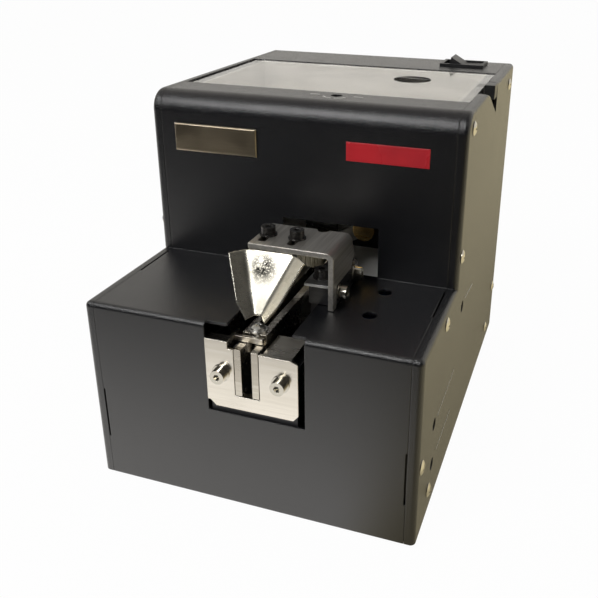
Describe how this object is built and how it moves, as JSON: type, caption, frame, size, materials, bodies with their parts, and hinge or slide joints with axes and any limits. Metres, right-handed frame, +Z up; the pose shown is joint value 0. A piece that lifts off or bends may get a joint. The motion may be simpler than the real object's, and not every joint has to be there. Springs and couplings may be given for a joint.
{
  "type": "automatic screw feeder",
  "caption": "Bench screw feeder: stepped sheet metal housing, clear hopper lid, slotted vibrating rail and bent bit guide over the front pick-up point, with rocker switch.",
  "frame": {"origin": "under the middle of the feeder, at the level its rubber feet stand on", "axes": "+Z up, -Y towards the front pick-up point, +X to the right seen from the front"},
  "size_m": [0.1324, 0.189, 0.1511],
  "materials": {
    "black_paint": "textured black powder coat",
    "zinc_sheet": "zinc plated sheet",
    "rubber": "matt black rubber",
    "bright_steel": "bright plated fasteners and rods",
    "black_oxide": "black oxide steel",
    "clear_acrylic": "clear acrylic sheet",
    "black_plastic": "fine matt black plastic",
    "blue_plastic": "blue acetal",
    "steel_part": "ground steel",
    "gear_plastic": "natural acetal",
    "brass": "turned brass",
    "nickel_plate": "nickel plated sheet",
    "rail_steel": "nickel plated rail plate",
    "black_anodised": "black anodised aluminium",
    "copper_coil": "enamelled copper winding",
    "guide_chrome": "bright polished plate",
    "brush_fibre": "natural nylon bristles",
    "board_green": "circuit board",
    "knob_white": "off-white plastic",
    "badge_metal": "brushed badge plate",
    "label_red": "red printed label"
  },
  "bodies": {
    "housing": {"front_shell": "black_paint", "left_panel": "black_paint", "right_panel": "black_paint", "rear_cover": "black_paint", "base_plate": "zinc_sheet", "rubber_feet": "rubber", "left_panel_screws": "bright_steel", "right_panel_screws": "bright_steel", "lid_hinge_pins": "bright_steel", "hopper": "zinc_sheet", "scoop_guide_rods": "bright_steel", "drive_bracket": "zinc_sheet", "gear_motor": "steel_part", "rail_guide_rods": "bright_steel", "rail_pedestals": "black_anodised", "vibration_magnet": "copper_coil", "stopper": "rail_steel", "front_plate": "nickel_plate", "front_plate_screws": "bright_steel", "bit_guide": "guide_chrome", "guide_bracket": "steel_part", "bracket_screws": "black_oxide", "holder_block": "black_anodised", "clamp_plate": "black_anodised", "clamp_bolts": "bright_steel", "holder_plate": "zinc_sheet", "holder_screw": "black_oxide", "brush_bearing": "black_plastic", "gate_block": "black_plastic", "control_board": "board_green", "board_standoffs": "brass", "trimmer_bodies": "black_plastic", "switch_body": "black_plastic", "dc_jack": "black_plastic", "badge_plate": "badge_metal", "label_plate": "label_red"},
    "lid_assembly": {"lid": "clear_acrylic", "lid_pull": "black_plastic"},
    "rail": {"rail_left": "rail_steel", "rail_right": "rail_steel", "rail_carriage": "black_anodised", "armature": "steel_part", "pickup_sensor": "black_plastic", "fed_screw": "bright_steel"},
    "scoop_block": {"scoop": "blue_plastic"},
    "link": {"scoop_link": "steel_part"},
    "crank_set": {"crank": "steel_part", "drive_gear": "gear_plastic"},
    "pinion": {"motor_pinion": "brass"},
    "brush": {"brush_shaft": "bright_steel", "brush_hub": "brass", "brush_arm": "steel_part", "brush_bristles": "brush_fibre"},
    "gate": {"gate_plate": "steel_part"},
    "gate_lock": {"gate_lock_screw": "bright_steel"},
    "brush_timer": {"brush_trimmer": "knob_white"},
    "shake_timer": {"shake_trimmer": "knob_white"},
    "sensor_timer": {"sensor_trimmer": "knob_white"},
    "rocker": {"switch_rocker": "black_plastic"}
  },
  "joints": [
    {"name": "lid_hinge", "type": "hinge", "parent": "housing", "child": "lid_assembly", "pos_m": [-0.059, 0.0225, 0.1451], "axis": [0, -1, 0], "range_deg": [0, 95]},
    {"name": "power_rocker", "type": "hinge", "parent": "housing", "child": "rocker", "pos_m": [0.0425, 0.0765, 0.143], "axis": [0, -1, 0], "range_deg": [0, 28]},
    {"name": "rail_shake", "type": "slide", "parent": "housing", "child": "rail", "axis": [0, 1, 0], "range_m": [-0.0004, 0.0004], "stiffness_N_per_m": 3000},
    {"name": "scoop_slide", "type": "slide", "parent": "housing", "child": "scoop_block", "axis": [0, 0, 1], "range_m": [0, 0.016]},
    {"name": "link_swing", "type": "hinge", "parent": "scoop_block", "child": "link", "pos_m": [-0.0197, 0.022, 0.035], "axis": [1, 0, 0], "range_deg": [-24, 24]},
    {"name": "crank_spin", "type": "hinge", "parent": "housing", "child": "crank_set", "pos_m": [-0.04, 0.022, 0.023], "axis": [1, 0, 0], "continuous": true},
    {"name": "pinion_spin", "type": "hinge", "parent": "housing", "child": "pinion", "pos_m": [-0.054, 0.0428, 0.023], "axis": [1, 0, 0], "continuous": true},
    {"name": "brush_swing", "type": "hinge", "parent": "housing", "child": "brush", "pos_m": [0.025, -0.026, 0.0965], "axis": [0, 1, 0], "range_deg": [0, 25]},
    {"name": "gate_slide", "type": "slide", "parent": "housing", "child": "gate", "axis": [0, 0, 1], "range_m": [0, 0.003]},
    {"name": "gate_lock_turn", "type": "hinge", "parent": "housing", "child": "gate_lock", "pos_m": [0.0091, -0.0177, 0.122], "axis": [0, 0, 1], "range_deg": [0, 180]},
    {"name": "brush_timer_turn", "type": "hinge", "parent": "housing", "child": "brush_timer", "pos_m": [0.061, -0.0203, 0.0649], "axis": [1, 0, 0], "range_deg": [-135, 135]},
    {"name": "shake_timer_turn", "type": "hinge", "parent": "housing", "child": "shake_timer", "pos_m": [0.061, -0.0669, 0.0385], "axis": [1, 0, 0], "range_deg": [-135, 135]},
    {"name": "sensor_timer_turn", "type": "hinge", "parent": "housing", "child": "sensor_timer", "pos_m": [0.061, -0.0671, 0.0207], "axis": [1, 0, 0], "range_deg": [-135, 135]}
  ],
  "couplings": [
    {"joint": "pinion_spin", "follows": "crank_spin", "ratio": -3.3333}
  ]
}
